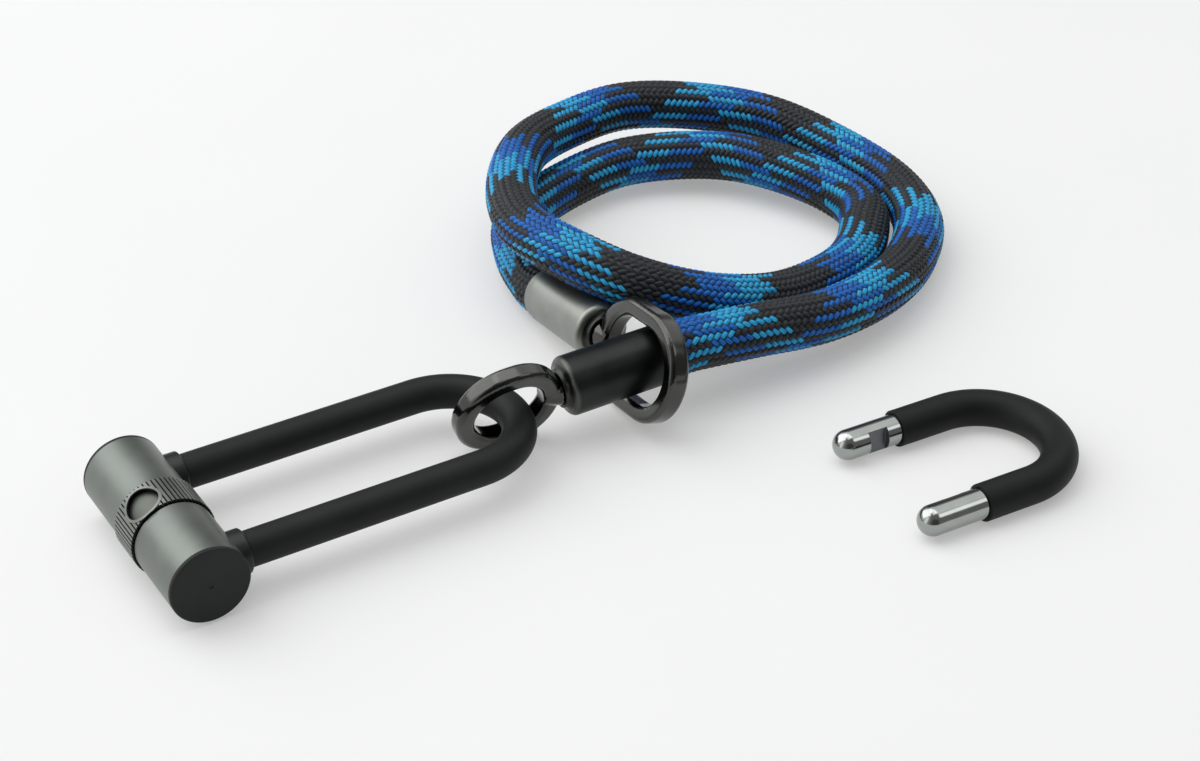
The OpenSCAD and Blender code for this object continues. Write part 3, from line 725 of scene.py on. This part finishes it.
def forge(name, mouth, axes, end_r, width, thickness):
    """Rounded forged eye: the solid and a web from its boss to its loop, as one smoothed skin."""
    centre = EYE_START + end_r
    hole_r, edge_r = end_r - width / 2, end_r - WEB_EDGE_INSET
    # The web as seen face on: round the hole, then over the boss
    inner = [
        (centre - hole_r * math.cos(a), hole_r * math.sin(a))
        for a in np.linspace(-WEB_HALF_ARC, WEB_HALF_ARC, HOLE_POINTS)
    ]
    edge_x = centre - edge_r * math.cos(WEB_HALF_ARC)
    edge_y = edge_r * math.sin(WEB_HALF_ARC)
    boss = [
        (EYE_START + BOSS_BACK + BOSS_R * (1 - math.cos(a)), BOSS_R * math.sin(a))
        for a in np.linspace(BOSS_ARC, -BOSS_ARC, BOSS_POINTS)
    ]
    outline = [*inner, (edge_x, edge_y), *boss, (edge_x, -edge_y)]
    n = len(outline)
    half = thickness / 2 - WEB_FACE_INSET
    web = np.array([(x, y, s * half) for s in (-1, 1) for x, y in outline])
    web = mouth + web @ axes.T
    faces = [tuple(range(n))[::-1], tuple(range(n, 2 * n))]
    faces += [(i, (i + 1) % n, n + (i + 1) % n, n + i) for i in range(n)]
    solid = nodes[name].data
    start = len(solid.vertices)
    verts = [tuple(v.co) for v in solid.vertices] + [tuple(v) for v in web]
    polygons = [tuple(p.vertices) for p in solid.polygons]
    polygons += [tuple(start + i for i in f) for f in faces]
    eye = new_object(name + "_forging", verts, polygons, [FORGED_BLACK])
    modifier(eye, "WELD", merge_threshold=SAME_POINT)
    modifier(eye, "REMESH", mode="VOXEL", voxel_size=SKIN_GRID, use_smooth_shade=True)
    modifier(eye, "SMOOTH", factor=0.5, iterations=14)
    modifier(eye, "DISPLACE", strength=SKIN_SWELL, mid_level=0.0)
    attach(eye, name)
    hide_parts(name)


LARGE_EYE_AXES = turned(LARGE_YAW, LARGE_PITCH, 90 - LARGE_LEAN)
SMALL_EYE_AXES = turned(SMALL_YAW, SMALL_PITCH, 90 - SMALL_LEAN)
forge("large_eye", LARGE_MOUTH, LARGE_EYE_AXES, 23.8 * MM, 6.8 * MM, 9 * MM)
forge("small_eye", SMALL_MOUTH, SMALL_EYE_AXES, 22.4 * MM, 7.5 * MM, 8 * MM)

LATHE_SIDES = 96


def lathe(name, mouth, axes, outline, material, node):
    """Turned piece of the rope's body, from a closed outline of (distance, radius) points."""
    outline = np.array(outline) * MM
    n = len(outline)
    verts = [
        mouth + axes @ np.array([x, r * math.cos(a), r * math.sin(a)])
        for a in np.linspace(0, 2 * math.pi, LATHE_SIDES, endpoint=False)
        for x, r in outline
    ]
    faces = []
    for i in range(LATHE_SIDES):
        here, there = i * n, (i + 1) % LATHE_SIDES * n
        for j in range(n):
            k = (j + 1) % n
            faces.append((here + j, here + k, there + k, there + j))
    obj = new_object(name, verts, faces, [material])
    modifier(obj, "WEIGHTED_NORMAL", keep_sharp=False, weight=50)
    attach(obj, "rope_assembly")
    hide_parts(node)


def fillet(x, r, radius, start, end, steps):
    """Points of an arc of the outline round (x, r), angles in degrees from the axis."""
    angles = np.radians(np.linspace(start, end, steps))
    return [(x + radius * math.cos(a), r + radius * math.sin(a)) for a in angles]


# Distance from the ferrule's mouth and radius, in millimetres
FERRULE_OUTLINE = [
    (0, 10.1), (0, 12.3), (0.3, 12.6), (3.2, 12.62), (3.5, 12.75), (3.75, 12.98), (4.2, 13.0),
    (30, 13.0), *fillet(47.2, 10.2, 2.8, 90, 0, 12), (50, 9.2), (49.9, 8.1), (29, 8.1),
    (28.9, 6), (26.1, 6), (26, 10.1),
]
BUSH_OUTLINE = [
    (49.3, 7.9), (50.02, 7.9), (50.02, 10.3), *fillet(52.6, 10.9, 2.6, 195, 262, 8),
    (52.28, 8.2), (52.3, 8.0), (52.3, 5.7), (38, 5.7), (38, 7.9),
]
for which, mouth, yaw, pitch, finish, slot in (
    ("large", LARGE_MOUTH, LARGE_YAW, LARGE_PITCH, FERRULE_GREY, "ferrule_grey"),
    ("small", SMALL_MOUTH, SMALL_YAW, SMALL_PITCH, FERRULE_BLACK, "ferrule_black"),
):
    axes = turned(yaw, pitch)
    shell, cove = f"ferrule_{which}_shell", f"bush_{which}_cove"
    lathe(shell, mouth, axes, FERRULE_OUTLINE, finish, f"ferrule_{which}")
    lathe(cove, mouth, axes, BUSH_OUTLINE, BUSH_BLACK, f"swivel_bush_{which}")

# The forms above stand in for their solids, and the dust ring's ribs are too fine for a bevel
EDGE = 0.3 * MM
FINE_EDGES = {"spare_shackle_bar": 0.2 * MM}
for name in FINISH:
    if name.endswith("_eye") or name.startswith(("ferrule", "swivel")) or name == "dust_ring":
        continue
    soften(name, FINE_EDGES.get(name, EDGE))
